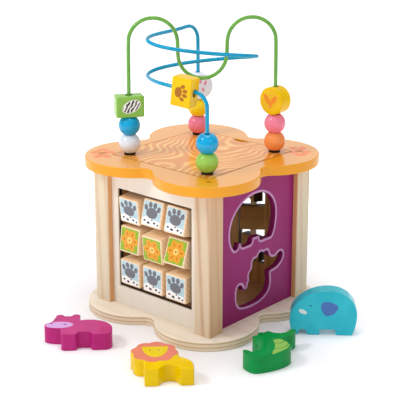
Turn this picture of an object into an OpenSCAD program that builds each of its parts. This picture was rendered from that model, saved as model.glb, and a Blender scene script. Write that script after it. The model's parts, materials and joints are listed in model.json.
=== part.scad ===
// Wooden activity cube: a lobed cabinet with turning picture blocks, shape sorters and a bead maze.
// Millimetres, +Z up, origin at the middle of the base's underside.
// The block panel faces -Y, the sorter panels +X and -X, the tile panel +Y.

/* [Cabinet] */
// Width of the cabinet over the outer faces of the posts
cabinet_w = 160; // [156:1:172]
// Height of the posts between base and top board
post_h = 148.5; // [140:0.5:170]
// Side of a square post
post_w = 20.5; // [19:0.5:24]
// Edge chamfer of a post
post_chamfer = 1; // [0.5:0.25:2]
// Thickness of the base board
base_t = 10; // [8:0.5:14]
// Thickness of the top board and of the lid
top_t = 10.4; // [9:0.2:14]
// Distance from the middle to each lobe's centre, along X and along Y
lobe_offset = 48; // [46:0.5:52]
// Radius of a lobe
lobe_r = 53.5; // [52:0.5:60]
// Radius of the hollow between two lobes
notch_r = 12; // [8:0.5:16]

/* [Panels] */
// Thickness of a panel
panel_t = 6.5; // [6:0.25:7]
// Setback of the panel's face behind the post's face
panel_setback = 6.3; // [5:0.1:7]
// Depth of the groove in a post that holds a panel's edge
groove_depth = 4; // [3:0.25:5]
// Slip of a panel's edge in its groove
groove_slip = 0.15; // [0.1:0.05:0.4]
// Height of the windows' middle above the floor
window_mid = 83.75; // [80:0.25:90]

/* [Picture blocks] */
// Side of a picture block
block_w = 27.5; // [25:0.25:28.5]
// Rounding of a block's edges
block_round = 2.5; // [1:0.25:4]
// Gap between neighbouring blocks on a rod
block_gap = 4.5; // [3:0.25:6]
// Gap between a turning block and the blocks of the next row
row_gap = 2.35; // [1:0.05:3]
// Gap between a row's last block and the window's side
side_gap = 5; // [3:0.25:6]
// Gap between a turning block and the window's upper and lower edge
edge_gap = 0.6; // [0.4:0.1:2]
// Diameter of a rod
rod_d = 4.5; // [4:0.25:4.5]
// Gap between the block panel's back and the rods
rod_behind = 1.7; // [1.5:0.1:1.7]
// Depth of a rod's socket in a post
rod_socket = 6; // [4:0.25:6.5]
// Clearance all round between a rod and what turns on it
turn_gap = 0.3; // [0.2:0.05:0.6]
// Clearance all round of a rod in its bore
rod_slip = 0.1; // [0.05:0.05:0.3]
// Diameter of a spacer ring
spacer_d = 7; // [6.5:0.25:7.5]
// End play between a ring and its neighbours
spacer_play = 0.3; // [0.2:0.05:0.5]

/* [Turning tiles] */
// Width of a tile
tile_w = 29; // [26:0.5:31]
// Height of a tile
tile_h = 27.5; // [25:0.25:29]
// Thickness of a tile
tile_t = 12; // [10:0.5:14]
// Gap between neighbouring tiles
tile_gap = 7; // [5:0.25:9]
// Height of the gap between the end tiles and their window
tile_end_gap = 1.5; // [1:0.25:3]
// Gap between a turning tile and the sides of the tall window
tile_side_gap = 3; // [1:0.25:5]
// Distance of the tall window's middle from the panel's middle
tile_window_x = 12.5; // [0:0.25:16]
// Diameter of the tiles' rod
tile_rod_d = 3.5; // [3:0.25:4]

/* [Lid] */
// How far the lid rests on each post, along X and along Y
lid_seat = 5.7; // [4:0.1:8]
// Gap all round between the lid and the top board
lid_gap = 0.5; // [0.3:0.1:1]
// Radius of the finger notch in the lid's edge
finger_r = 12; // [9:0.5:15]
// Depth of the finger notch
finger_depth = 6; // [4:0.25:9]

/* [Wires] */
// Diameter of a wire
wire_d = 4; // [3:0.25:4.5]
// Distance of a wire's foot from each of the two lid edges next to it
foot_inset = 12.2; // [9:0.1:13]
// Depth of a wire's socket in the lid
socket_depth = 8; // [5:0.5:9]
// Clearance all round of a wire in its socket
socket_slip = 0.15; // [0.1:0.05:0.3]
// Height of the green arches' tops above the lid, to the wire's middle
arch_top = 141; // [136:1:170]
// Height of the green valley above the lid, to the wire's middle
valley_low = 78.5; // [76:0.5:82]
// Distance of the blue coil's tips inside the wire feet
coil_inset = 19; // [18.5:0.5:25]
// Half breadth of the blue coil
coil_short = 26; // [22:0.5:30]
// Height of the coil's first turn above the lid
coil_top = 119; // [117:0.5:122]
// Drop of the coil in one turn
coil_pitch = 37; // [32:0.5:38]
// Height of the back bend's corner above the lid
back_corner = 123; // [121:0.5:128]
// Height of the front bend's corner above the lid
front_corner = 78.5; // [77:0.5:80]
// Radius of the back bend
back_bend_r = 17.5; // [14:0.5:20]
// Radius of the front bend
front_bend_r = 15; // [12:0.5:16]
// Diameter of a collar at a wire's foot
collar_d = 12; // [10:0.5:14]
// Height of a collar
collar_h = 2; // [1.5:0.25:4]

/* [Beads] */
// Diameter of a ball
ball_d = 22.25; // [20:0.25:23]
// Length of a ball along its hole, between its flats
ball_len = 18.7; // [18:0.1:19.8]
// Diameter of the holes in the balls and disc beads
bead_hole = 6.4; // [6:0.1:7]
// Diameter of the holes in the block beads
block_hole = 8; // [7:0.25:9]
// Gap between neighbouring beads at rest
bead_gap = 0.3; // [0.2:0.05:0.5]
// Width of a block bead
bead_block_w = 29; // [24:0.5:29.5]
// Length of a block bead along its hole
bead_block_len = 22; // [18:0.5:24]
// Thickness of a block bead and of a disc bead
bead_t = 16.5; // [12:0.5:17]
// Diameter of a disc bead
disc_d = 29; // [24:0.5:29.5]
// Rounding of the edges of block beads and disc beads
bead_round = 1.5; // [1:0.25:3]
// Distance of the block bead's middle from the front bend's corner, along the wire
run_bead_at = 25; // [24.75:0.25:27]

/* [Sorter pieces] */
// Thickness of a sorter piece
piece_t = 17.5; // [14:0.5:20]
// Height of the elephant, feet to back
elephant_h = 47.5; // [44:0.5:49]
// Height of the crocodile, belly to eyes
crocodile_h = 48.7; // [45:0.1:50]
// Height of the hippo, feet to ears
hippo_h = 49.3; // [46:0.1:50]
// Height of the lion, feet to mane
lion_h = 60.6; // [57:0.1:61]
// Gap all round between a piece and its cut-out
piece_fit = 2.5; // [1.5:0.1:2.8]
// Rounding of the corners in the outlines
piece_round = 1.6; // [1:0.1:2.5]
// Height of the upper cut-outs' middle above the floor
upper_cut_z = 114.5; // [113:0.5:116]
// Height of the lower cut-outs' middle above the floor
lower_cut_z = 48.5; // [46:0.5:50]

/* [Hidden] */
$fn = 64;

// Overlap that lets a cut run clear through a face
eps = 1;

// Levels
post_top = base_t + post_h;
lid_top = post_top + top_t;
foot_top = lid_top + collar_h;

// Panel faces, measured from the middle of the cabinet
panel_face = cabinet_w / 2 - panel_setback;
panel_back = panel_face - panel_t;
post_inner = cabinet_w / 2 - post_w;
panel_half_w = post_inner + groove_depth - groove_slip;
rod_r = rod_d / 2;
rod_plane = panel_back - rod_behind - rod_r;
tile_rod_r = tile_rod_d / 2;
tile_plane = panel_face - panel_t / 2;
wire_r = wire_d / 2;

// Windows take their sizes from what turns in them
function turning_r(w, h, r) = norm([w / 2 - r, h / 2 - r]) + r;
block_turn_r = turning_r(block_w, block_w, block_round);
block_pitch = block_w + block_gap;
row_pitch = block_w / 2 + block_turn_r + row_gap;
window_w = 2 * block_pitch + block_w + 2 * side_gap;
window_h = 2 * (row_pitch + block_turn_r + edge_gap);
tile_pitch = tile_h + tile_gap;
tile_window_w = 2 * (turning_r(tile_w, tile_t, block_round) + tile_side_gap);
tile_window_h = 3 * tile_h + 2 * (tile_gap + tile_end_gap);

// The lid spans the posts' inner corners, and the wires stand near its corners
lid_w = 2 * (post_inner + lid_seat);
wire_reach = (lid_w / 2 - foot_inset) * sqrt(2);
coil_long = wire_reach - coil_inset;

// Reach of the boards from the middle
board_reach = lobe_offset + lobe_r;

// Rest angles of the picture blocks, top row first, left to right, positive with the face turned up
block_tilts = [[-6, 13, 13], [7, -5, 20], [-1.5, 0, 1]];
block_nodes = [
    ["top_left_block", "top_middle_block", "top_right_block"],
    ["middle_left_block", "centre_block", "middle_right_block"],
    ["bottom_left_block", "bottom_middle_block", "bottom_right_block"]
];
tile_nodes = ["upper_tile", "middle_tile", "lower_tile"];
// Rest angles of the tiles, top first
tile_turns = [-32, 36, -8];

// Colours
birch = "#E8D9BF";
pine = "#E6C9A0";
cream = "#EFE6D6";
amber = "#F5B142";
plum = "#7E2B61";
leaf_green = "#78B84C";
wire_blue = "#1E96C8";

// Points on an arc of an ellipse, from one angle to another
function arc(c, rx, ry, from, to, steps) =
    [for (i = [0:steps]) let (a = from + (to - from) * i / steps) c + [rx * cos(a), ry * sin(a)]];

// Smooth line through points, with steps between each two
function drawn_line(p, steps = 3) = concat(
    [for (i = [0:len(p) - 2])
        let (a = p[max(i - 1, 0)], b = p[i], c = p[i + 1], d = p[min(i + 2, len(p) - 1)])
        for (k = [0:steps - 1])
            let (t = k / steps)
            (2 * b + (c - a) * t
                + (2 * a - 5 * b + 4 * c - d) * t ^ 2 + (3 * b - a - 3 * c + d) * t ^ 3) / 2],
    [p[len(p) - 1]]
);

// Square with round corners, as points
function round_rect(w, h, r, steps = 4) = concat(
    arc([w / 2 - r, h / 2 - r], r, r, 0, 90, steps),
    arc([r - w / 2, h / 2 - r], r, r, 90, 180, steps),
    arc([r - w / 2, r - h / 2], r, r, 180, 270, steps),
    arc([w / 2 - r, r - h / 2], r, r, 270, 360, steps)
);

// Outline of the boards: four lobes joined by round hollows, tangent to each other
notch_reach = sqrt(pow(lobe_r + notch_r, 2) - pow(lobe_offset, 2));
notch_angle = asin(lobe_offset / (lobe_r + notch_r));
function quarter_outline() = concat(
    arc([lobe_offset, lobe_offset], lobe_r, lobe_r, -notch_angle, 90 + notch_angle, 36),
    arc([0, lobe_offset + notch_reach], notch_r, notch_r, notch_angle - 90, -90 - notch_angle, 9)
);
function turned(p, a) = [p.x * cos(a) - p.y * sin(a), p.x * sin(a) + p.y * cos(a)];
function board_points() = [for (k = [0:3]) for (p = quarter_outline()) turned(p, 90 * k)];

// Block with round edges: what three rounded prisms have in common
module round_block(size, r) {
    intersection() {
        linear_extrude(size.z, center = true) polygon(round_rect(size.x, size.y, r));
        rotate([90, 0, 0]) linear_extrude(size.y, center = true) polygon(round_rect(size.x, size.z, r));
        rotate([90, 0, 90]) linear_extrude(size.x, center = true) polygon(round_rect(size.y, size.z, r));
    }
}

// Cabinet

module base_board() {
    color(birch) linear_extrude(base_t) polygon(board_points());
}

module top_board() {
    opening = lid_w + 2 * lid_gap;
    color(amber) translate([0, 0, post_top]) linear_extrude(top_t) difference() {
        polygon(board_points());
        square(opening, center = true);
    }
}

// Cross-section of the post at +X +Y: chamfered edges and a groove for each of its two panels
module post_section() {
    outer = cabinet_w / 2;
    difference() {
        polygon([
            [post_inner, post_inner + post_chamfer], [post_inner + post_chamfer, post_inner],
            [outer - post_chamfer, post_inner], [outer, post_inner + post_chamfer],
            [outer, outer - post_chamfer], [outer - post_chamfer, outer],
            [post_inner + post_chamfer, outer], [post_inner, outer - post_chamfer]
        ]);
        translate([panel_back, post_inner - eps]) square([panel_t, groove_depth + eps]);
        translate([post_inner - eps, panel_back]) square([groove_depth + eps, panel_t]);
    }
}

module post(turn) {
    color(pine) translate([0, 0, base_t]) rotate(turn) linear_extrude(post_h) post_section();
}

// Post with sockets for the ends of the block rods
module socketed_post(turn) {
    color(pine) difference() {
        post(turn);
        for (row = [0:2]) block_rod_place(row) rod(block_rod_len, rod_r + rod_slip);
    }
}

module front_post() { socketed_post(-90); }
module right_post() { post(0); }
module back_post() { post(90); }
module left_post() { socketed_post(180); }

// Blank of a panel, standing on the base, drawn on the -Y side
module panel_blank() {
    translate([-panel_half_w, -panel_face, base_t]) cube([2 * panel_half_w, panel_t, post_h]);
}

// Rows of the block panel, top first, and the rods that span the posts behind its window
function row_z(row) = window_mid + (1 - row) * row_pitch;
function block_x(column) = (column - 1) * block_pitch;
block_rod_len = 2 * (post_inner + rod_socket);

module rod(length, r) {
    cylinder(h = length, r = r, center = true);
}

module block_rod_place(row, x = 0) {
    translate([x, -rod_plane, row_z(row)]) rotate([0, 90, 0]) children();
}

module block_panel() {
    color(cream) difference() {
        panel_blank();
        translate([-window_w / 2, -panel_face - eps, window_mid - window_h / 2])
            cube([window_w, panel_t + 2 * eps, window_h]);
    }
}

module block_rod(row) {
    color(pine) block_rod_place(row) rod(block_rod_len, rod_r);
}

module upper_rod() { block_rod(0); }
module middle_rod() { block_rod(1); }
module lower_rod() { block_rod(2); }

// Ring that fills a gap on a rod of radius r
module spacer(gap, r) {
    length = gap - 2 * spacer_play;
    difference() {
        rod(length, spacer_d / 2);
        rod(length + 2 * eps, r + rod_slip);
    }
}

// Rings on the rods: two between the blocks of a row and one at each end of it
module block_spacers() {
    color(pine) for (row = [0:2]) for (side = [-1, 1]) {
        block_rod_place(row, side * block_pitch / 2) spacer(block_gap, rod_r);
        block_rod_place(row, side * (window_w - side_gap) / 2) spacer(side_gap, rod_r);
    }
}

module picture_block(row, column) {
    color(row == 1 ? "#C9D66B" : "#C5D8DE")
        translate([block_x(column), -rod_plane, row_z(row)]) rotate([-block_tilts[row][column], 0, 0])
            difference() {
                round_block([block_w, block_w, block_w], block_round);
                rotate([0, 90, 0]) rod(block_w + 2 * eps, rod_r + turn_gap);
            }
}

// Tile panel, with its rod upright in a tall window

module tile_panel() {
    color(cream) rotate(180) difference() {
        panel_blank();
        translate([-tile_window_x - tile_window_w / 2, -panel_face - eps, window_mid - tile_window_h / 2])
            cube([tile_window_w, panel_t + 2 * eps, tile_window_h]);
        translate([-tile_window_x, -tile_plane, base_t + post_h / 2])
            rod(post_h + 2 * eps, tile_rod_r + rod_slip);
    }
}

module tile_rod() {
    color(pine) translate([tile_window_x, tile_plane, base_t + post_h / 2]) rod(post_h, tile_rod_r);
}

// Rings on the upright rod: two between the tiles and one at each end
module tile_spacers() {
    color(pine) translate([tile_window_x, tile_plane, window_mid]) for (side = [-1, 1]) {
        translate([0, 0, side * tile_pitch / 2]) spacer(tile_gap, tile_rod_r);
        translate([0, 0, side * (tile_window_h - tile_end_gap) / 2]) spacer(tile_end_gap, tile_rod_r);
    }
}

module turning_tile(row) {
    color("#C99B5F") translate([tile_window_x, tile_plane, window_mid + (1 - row) * tile_pitch])
        rotate(tile_turns[row])
            difference() {
                round_block([tile_w, tile_t, tile_h], block_round);
                rod(tile_h + 2 * eps, tile_rod_r + turn_gap);
            }
}

// Sorter pieces: each outline is drawn standing, about the middle of its box

module soften() {
    offset(r = piece_round, $fn = 24) offset(r = -2 * piece_round, $fn = 24) offset(r = piece_round, $fn = 24)
        children();
}

module elephant_outline() {
    drawn_h = 47.5;
    feet = -drawn_h / 2;
    arch_w = 8.8;
    leg_gap = [16, 6];
    soften() scale(elephant_h / drawn_h) difference() {
        polygon(concat(
            [[-28.5, feet], [29, feet]],
            drawn_line([
                [31.5, -18.5], [33.2, -10], [33.8, -1], [32.4, 6.4], [29.2, 12.4], [24.6, 17.4], [18.8, 21],
                [12.8, 23], [6, 23.75], [-1, 23.4], [-8, 21.9], [-14, 19.6], [-20, 16.1],
                [-25.2, 12], [-29.4, 7], [-32.4, 1], [-33.8, -6], [-33.6, -13], [-31.8, -19]
            ])
        ));
        // arch between trunk and leg, and the gap between the legs
        translate([-21, feet + 1.5]) circle(d = arch_w, $fn = 32);
        translate([-21, feet]) square([arch_w, 3], center = true);
        translate([-3.5, feet - eps]) square(leg_gap + [0, eps]);
    }
}

module crocodile_outline() {
    drawn_h = 48.7;
    // the line drawn here runs this far outside the piece
    drawn_margin = 2.5;
    soften() scale(crocodile_h / drawn_h) offset(r = -drawn_margin, $fn = 24)
        polygon(drawn_line([
            // tail, its tip curled up
            [-21.3, -7.6], [-22.5, -4.2], [-24.2, -1.2], [-27.5, 0.5], [-31, -0.4], [-33, -4.5], [-33.4, -10],
            [-32.6, -16.5], [-30, -21.6], [-25.5, -24.6],
            // belly and throat
            [-18, -26.1], [-9, -26.6], [0, -26.2], [8, -24.6], [15, -21.2], [19, -16.8],
            [20.8, -11], [20.6, -5], [20.1, 1.2],
            // snout
            [24, 2.4], [31.2, 3.4], [37.4, 6.2], [41.4, 10], [42.6, 13.8], [41.2, 17.6], [37.4, 19.2],
            [33.2, 17.8], [29.4, 15.8], [25, 16], [21.2, 18],
            // two brows
            [18.8, 21.2], [17.4, 24.8], [14.2, 26.7], [10.4, 25.4], [7.2, 27.2], [3.4, 27], [1, 25],
            // back with three scutes
            [-1.4, 22.6], [-5.6, 22.6], [-8.4, 19.6], [-8.4, 15.6], [-9.8, 12.2], [-12.8, 9.4], [-13.8, 5.6],
            [-13, 1.6], [-15, -1], [-16.4, -5.6], [-21.3, -7.6]
        ]));
}

module hippo_outline() {
    drawn_h = 49.3;
    feet = -24.5;
    soften() scale(hippo_h / drawn_h) difference() {
        union() {
            // muzzle, cheek and ears
            translate([-19.6, -0.4]) scale([14.7, 8.3]) circle(r = 1, $fn = 48);
            polygon([[-28, 5], [-25, 14], [-23.5, 20.5], [-3, 20.5], [0.8, 17], [0.8, 0], [-8, -4]]);
            for (x = [-19.4, -3.2]) translate([x, 20.6]) circle(r = 4.2, $fn = 32);
            // body and legs
            polygon(concat(
                arc([9, -11], 24.6, 22, 0, 100, 16),
                [[-8, 6], [-17.6, -8], [-16.8, feet + 2.5], [-14.3, feet]],
                arc([25.6, feet + 8], 8, 8, -90, 0, 6)
            ));
        }
        polygon([
            [-4, feet - eps], [-2.6, feet], [0.4, -18.6], [11, -18.6], [14.2, feet], [15.6, feet - eps]
        ]);
    }
}

module lion_outline() {
    drawn_h = 60.6;
    feet = -29.4;
    mane = [-6.7, 8.2];
    soften() scale(lion_h / drawn_h) difference() {
        union() {
            // mane with eight scallops
            translate(mane) circle(r = 17, $fn = 48);
            for (k = [0:7])
                translate(mane) rotate(45 * k - 10) translate([13.5, 0]) circle(r = 9.5, $fn = 40);
            // body and legs
            polygon(concat(
                drawn_line([[12, 2], [19.2, -5], [23.5, -8.5], [26.9, -12.8], [28.7, -18], [29, -24]]),
                [[29, feet], [-17, feet], [-17.2, 0]]
            ));
        }
        // belly arch
        polygon(concat(
            [[17.5, feet - eps]],
            drawn_line([[16.4, feet], [14.6, -25.4], [12.4, -22.2], [8.6, -20.2], [4.4, -20.2], [0.8, -22],
                [-1.6, -25.4], [-4.2, feet]]),
            [[-5.2, feet - eps]]
        ));
    }
}

// A piece as a solid of its outline, lying on the floor
module lying_piece(place, turn) {
    translate([place.x, place.y, 0]) rotate(turn) linear_extrude(piece_t) children();
}

// The loose pieces lie in front of the boards
elephant_place = [board_reach + 38.5, 26.5];
crocodile_place = [board_reach + 37, -61.5];
hippo_place = [-30.5, -board_reach - 50.5];
lion_place = [80.5, -board_reach - 47.5];
// Direction in which a lying piece's top points away, so that it reads upright from the front corner
lying_turn = 45;
elephant_turn = 38;
crocodile_turn = 70;

module elephant() {
    color("#45B1C0") translate([elephant_place.x, elephant_place.y, elephant_h / 2]) rotate(elephant_turn)
        rotate([90, 0, 0]) linear_extrude(piece_t, center = true) elephant_outline();
}

module crocodile() {
    color("#0A8A3C") lying_piece(crocodile_place, crocodile_turn) crocodile_outline();
}

module hippo() {
    color("#C4508F") lying_piece(hippo_place, lying_turn) hippo_outline();
}

module lion() {
    color("#EAC800") lying_piece(lion_place, lying_turn) lion_outline();
}

// Cut-out for a piece through the panel drawn on the -Y side
module cut_out(x, z) {
    translate([x, 0, z]) rotate([90, 0, 0]) linear_extrude(panel_face + eps)
        offset(r = piece_fit, $fn = 24) children();
}

upper_cut_x = -6;
lower_cut_x = 1.5;

module sorter_panel() {
    color(plum) rotate(90) difference() {
        panel_blank();
        cut_out(upper_cut_x, upper_cut_z) elephant_outline();
        cut_out(lower_cut_x, lower_cut_z) crocodile_outline();
    }
}

module second_sorter_panel() {
    color(plum) rotate(-90) difference() {
        panel_blank();
        cut_out(0, upper_cut_z) lion_outline();
        cut_out(0, lower_cut_z) hippo_outline();
    }
}

// Lid and wires

wire_feet = [for (a = [-45, 45, 135, 225]) wire_reach * [cos(a), sin(a)]];

module lid() {
    color(amber) difference() {
        translate([0, 0, post_top]) linear_extrude(top_t) difference() {
            square(lid_w, center = true);
            translate([0, lid_w / 2 + finger_r - finger_depth]) circle(r = finger_r);
        }
        for (p = wire_feet) translate([p.x, p.y, lid_top - socket_depth])
            cylinder(h = socket_depth + eps, r = wire_r + socket_slip);
    }
}

module wire_collars() {
    color("#2A2724") for (p = wire_feet) translate([p.x, p.y, lid_top]) difference() {
        cylinder(h = collar_h, d = collar_d);
        translate([0, 0, -eps]) cylinder(h = collar_h + 2 * eps, r = wire_r + socket_slip);
    }
}

function unit(v) = v / norm(v);

// Points of a bend of radius r at corner c, from direction d1 into direction d2
function bend(c, d1, d2, r, steps) =
    let (a = acos(d1 * d2), side = unit(d2 - d1 * (d1 * d2)))
    let (centre = c - d1 * r * tan(a / 2) + side * r)
    [for (i = [0:steps]) let (t = a * i / steps) centre - side * r * cos(t) + d1 * r * sin(t)];

// Points of a cubic curve between two ends, each with the handle that sets its direction
function curve(p, hp, hq, q, steps) =
    [for (i = [1:steps - 1]) let (t = i / steps, s = 1 - t)
        s * s * s * p + 3 * s * s * t * (p + hp) + 3 * s * t * t * (q - hq) + t * t * t * q];

// Directions along a path, and a side direction carried along it without twist
function directions(path) =
    [for (i = [0:len(path) - 1]) unit(path[min(i + 1, len(path) - 1)] - path[max(i - 1, 0)])];
function carried(d, side, i = 0) =
    i == len(d) ? [] : let (s = unit(side - d[i] * (d[i] * side))) concat([s], carried(d, s, i + 1));

// Round wire swept along a path as one closed skin
module wire(path, r, sides = 10) {
    d = directions(path);
    s = carried(d, [1, 0, 0]);
    last = len(path) - 1;
    points = [for (i = [0:last]) for (k = [0:sides - 1]) let (a = 360 * k / sides)
        path[i] + r * (cos(a) * s[i] + sin(a) * cross(d[i], s[i]))];
    walls = [for (i = [0:last - 1]) for (k = [0:sides - 1])
        let (m = (k + 1) % sides, a = i * sides, b = a + sides)
        each [[a + k, b + k, b + m], [a + k, b + m, a + m]]];
    ends = [[for (k = [0:sides - 1]) k], [for (k = [sides - 1:-1:0]) last * sides + k]];
    polyhedron(points, concat(ends, walls));
}

wire_foot_z = lid_top - socket_depth;
up = [0, 0, 1];

// The green wire lies in one plane: two arches with a valley between them, all of one radius
arch_r = wire_reach / 3;
arch_z = lid_top + arch_top - arch_r;
valley_z = lid_top + valley_low + arch_r;
function half_turn(x, z, from, to) = [for (p = arc([x, z], arch_r, arch_r, from, to, 12)) [p.x, 0, p.y]];
green_path = concat(
    [[-wire_reach, 0, wire_foot_z]],
    half_turn(-2 * arch_r, arch_z, 180, 0),
    half_turn(0, valley_z, 180, 360),
    half_turn(2 * arch_r, arch_z, 180, 0),
    [[wire_reach, 0, wire_foot_z]]
);

module green_wire() {
    color(leaf_green) rotate(45) wire(green_path, wire_r);
}

// The blue wire rises at the back, winds once round a long flat coil and comes down at the front.
// It is drawn with X along the coil and -Y towards the front corner.
back_corner_at = [0, wire_reach, lid_top + back_corner];
front_corner_at = [0, -wire_reach, lid_top + front_corner];
coil_start = [-coil_long, 0, lid_top + coil_top];
coil_end = coil_start - coil_pitch * up;
coil_heading = unit([0, -coil_short, -coil_pitch / 360 * 180 / PI]);
// Headings of the run that leads to the coil and of the run that leaves it
lead_in = unit([-0.66, -0.75, -0.09]);
lead_out = unit([0.84, -0.54, -0.11]);
// Lengths of the straight runs next to the bends
lead_in_run = 5;
lead_out_run = 34;
back_bend = bend(back_corner_at, up, lead_in, back_bend_r, 7);
front_bend = bend(front_corner_at, lead_out, -up, front_bend_r, 8);
lead_in_end = back_bend[7] + lead_in_run * lead_in;
lead_out_start = front_bend[0] - lead_out_run * lead_out;
blue_path = concat(
    [[0, wire_reach, wire_foot_z]],
    back_bend,
    [lead_in_end],
    curve(lead_in_end, 22 * lead_in, 14 * coil_heading, coil_start, 6),
    [for (i = [0:30]) let (a = 12 * i)
        [-coil_long * cos(a), -coil_short * sin(a), coil_start.z - coil_pitch * a / 360]],
    curve(coil_end, 8 * coil_heading, 10 * lead_out, lead_out_start, 5),
    [lead_out_start],
    front_bend,
    [[0, -wire_reach, wire_foot_z]]
);

module blue_wire() {
    color(wire_blue) rotate(45) wire(blue_path, wire_r);
}

// Beads

// Ball with a hole along Z and a flat at each end of it
module ball_bead() {
    difference() {
        intersection() {
            sphere(d = ball_d);
            cylinder(h = ball_len, d = ball_d + 2 * eps, center = true);
        }
        cylinder(h = ball_len + 2 * eps, d = bead_hole, center = true);
    }
}

module block_bead() {
    difference() {
        round_block([bead_block_w, bead_t, bead_block_len], bead_round);
        cylinder(h = bead_block_len + 2 * eps, d = block_hole, center = true);
    }
}

// Disc that stands on its rim, drilled along a diameter, with round edges
module disc_bead() {
    flat = disc_d / 2 - bead_round;
    profile = concat(
        [[0, -bead_t / 2]],
        arc([flat, bead_round - bead_t / 2], bead_round, bead_round, -90, 0, 4),
        arc([flat, bead_t / 2 - bead_round], bead_round, bead_round, 0, 90, 4),
        [[0, bead_t / 2]]
    );
    difference() {
        rotate([90, 0, 0]) rotate_extrude() polygon(profile);
        cylinder(h = disc_d + 2 * eps, d = bead_hole, center = true);
    }
}

// Middle of the ball at a level of a column, lowest first
function ball_z(level) = foot_top + bead_gap + ball_len / 2 + level * (ball_len + bead_gap);
column_top = ball_z(1) + ball_len / 2 + bead_gap;

// Place of a column over the wire foot on a diagonal
module on_foot(angle, z) {
    translate([wire_reach * cos(angle), wire_reach * sin(angle), z]) children();
}

module ball(angle, level, shade) {
    color(shade) on_foot(angle, ball_z(level)) ball_bead();
}

module white_ball() { ball(225, 0, "#F4F2EE"); }
module left_blue_ball() { ball(225, 1, "#1498CC"); }
module orange_ball() { ball(45, 0, "#F07840"); }
module right_pink_ball() { ball(45, 1, "#E8708E"); }
module back_pink_ball() { ball(135, 0, "#E8708E"); }
module yellow_ball() { ball(135, 1, "#F2CE0A"); }
module green_ball() { ball(-45, 0, "#8CC63F"); }
module front_blue_ball() { ball(-45, 1, "#1498CC"); }

// Rest turns of the shaped beads about their wires
green_block_turn = 55.5;
yellow_disc_turn = 0;
white_disc_turn = 60;

module green_block() {
    color("#8CC63F") on_foot(225, column_top + bead_block_len / 2) rotate(green_block_turn) block_bead();
}

module yellow_disc() {
    color("#F2CE0A") on_foot(45, column_top + disc_d / 2) rotate(yellow_disc_turn) disc_bead();
}

module white_disc() {
    color("#F4F2EE") on_foot(135, column_top + disc_d / 2) rotate(white_disc_turn) disc_bead();
}

// The block bead hangs on the blue wire's last straight run, its hole along the wire, its broad side upright
module yellow_block() {
    tilt = asin(lead_out.z);
    heading = atan2(lead_out.y, lead_out.x);
    hang = (block_hole - wire_d) / 2 - bead_gap;
    color("#F2CE0A") rotate(45) translate(front_corner_at - run_bead_at * lead_out - hang * up)
        rotate(heading) rotate([0, -tilt, 0]) rotate([0, 90, 0]) rotate(180) block_bead();
}

base_board();
front_post();
right_post();
back_post();
left_post();
top_board();
block_panel();
sorter_panel();
tile_panel();
second_sorter_panel();
upper_rod();
middle_rod();
lower_rod();
block_spacers();
tile_rod();
tile_spacers();
for (row = [0:2]) for (column = [0:2])
    picture_block(row, column);
for (row = [0:2])
    turning_tile(row);
lid();
green_wire();
blue_wire();
wire_collars();
white_ball();
left_blue_ball();
green_block();
orange_ball();
right_pink_ball();
yellow_disc();
back_pink_ball();
yellow_ball();
white_disc();
green_ball();
front_blue_ball();
yellow_block();
elephant();
crocodile();
hippo();
lion();
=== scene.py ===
"""Looks of a wooden activity cube, built round its solids.

Places and sizes are written in millimetres and brought to metres by MM.
"""
import json
from contextlib import contextmanager
from functools import reduce
from math import cos, hypot, pi, radians, sin
from operator import or_

import bpy
from mathutils import Matrix, Vector


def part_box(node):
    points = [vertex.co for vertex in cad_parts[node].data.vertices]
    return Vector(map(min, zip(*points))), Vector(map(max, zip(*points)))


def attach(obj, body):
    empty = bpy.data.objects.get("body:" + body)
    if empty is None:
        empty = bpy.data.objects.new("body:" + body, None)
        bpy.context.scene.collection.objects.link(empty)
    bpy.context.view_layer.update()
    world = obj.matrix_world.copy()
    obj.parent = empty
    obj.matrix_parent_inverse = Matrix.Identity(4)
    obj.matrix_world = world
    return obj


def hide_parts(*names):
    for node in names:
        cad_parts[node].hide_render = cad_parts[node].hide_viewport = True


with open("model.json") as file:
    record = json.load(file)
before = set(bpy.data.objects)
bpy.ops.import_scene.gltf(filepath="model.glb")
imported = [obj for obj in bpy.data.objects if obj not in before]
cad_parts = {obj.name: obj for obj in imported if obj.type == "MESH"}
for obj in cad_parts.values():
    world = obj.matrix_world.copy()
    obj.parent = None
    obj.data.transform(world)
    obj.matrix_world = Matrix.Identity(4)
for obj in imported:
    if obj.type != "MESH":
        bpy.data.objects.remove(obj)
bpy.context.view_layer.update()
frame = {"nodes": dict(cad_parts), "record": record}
nodes = frame["nodes"]
record = frame["record"]
body_of = {node: body for body, members in record["behaviour"]["bodies"].items() for node in members}

MM = 0.001
X, Y, Z = range(3)


# Measures of the solids

def size(node, axis):
    """Size of a solid along an axis, in millimetres."""
    low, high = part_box(node)
    return (high[axis] - low[axis]) / MM


def middle(node):
    """Middle of a solid's box, in metres."""
    low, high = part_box(node)
    return [(a + b) / 2 for a, b in zip(low, high)]


BASE_T = size("base_board", Z)
LID_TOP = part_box("lid")[1][Z] / MM
LID_HALF = size("lid", X) / 2
POST_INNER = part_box("front_post")[0][X] / MM
PANEL_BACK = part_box("tile_panel")[0][Y] / MM
BLOCK_W = size("centre_block", X)
BALL_D = size("white_ball", Y)
BALL_LEN = size("white_ball", Z)
DISC_D = size("yellow_disc", Z)
BEAD_T = size("yellow_disc", Y)
BEAD_LEN = size("green_block", Z)
PIECE_T = size("hippo", Z)


# Materials

# A length along the grain counts as this share of one across it
GRAIN_PULL = 0.045
# Scale of the grain's lines and of the ripple in them, for lines one millimetre apart
GRAIN_LINES = 0.314
GRAIN_RIPPLE = 0.6
GRAIN_SHARPNESS = 3.0
# A height divided by this no longer counts in a distance
FLATTENED = 1e6


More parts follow.
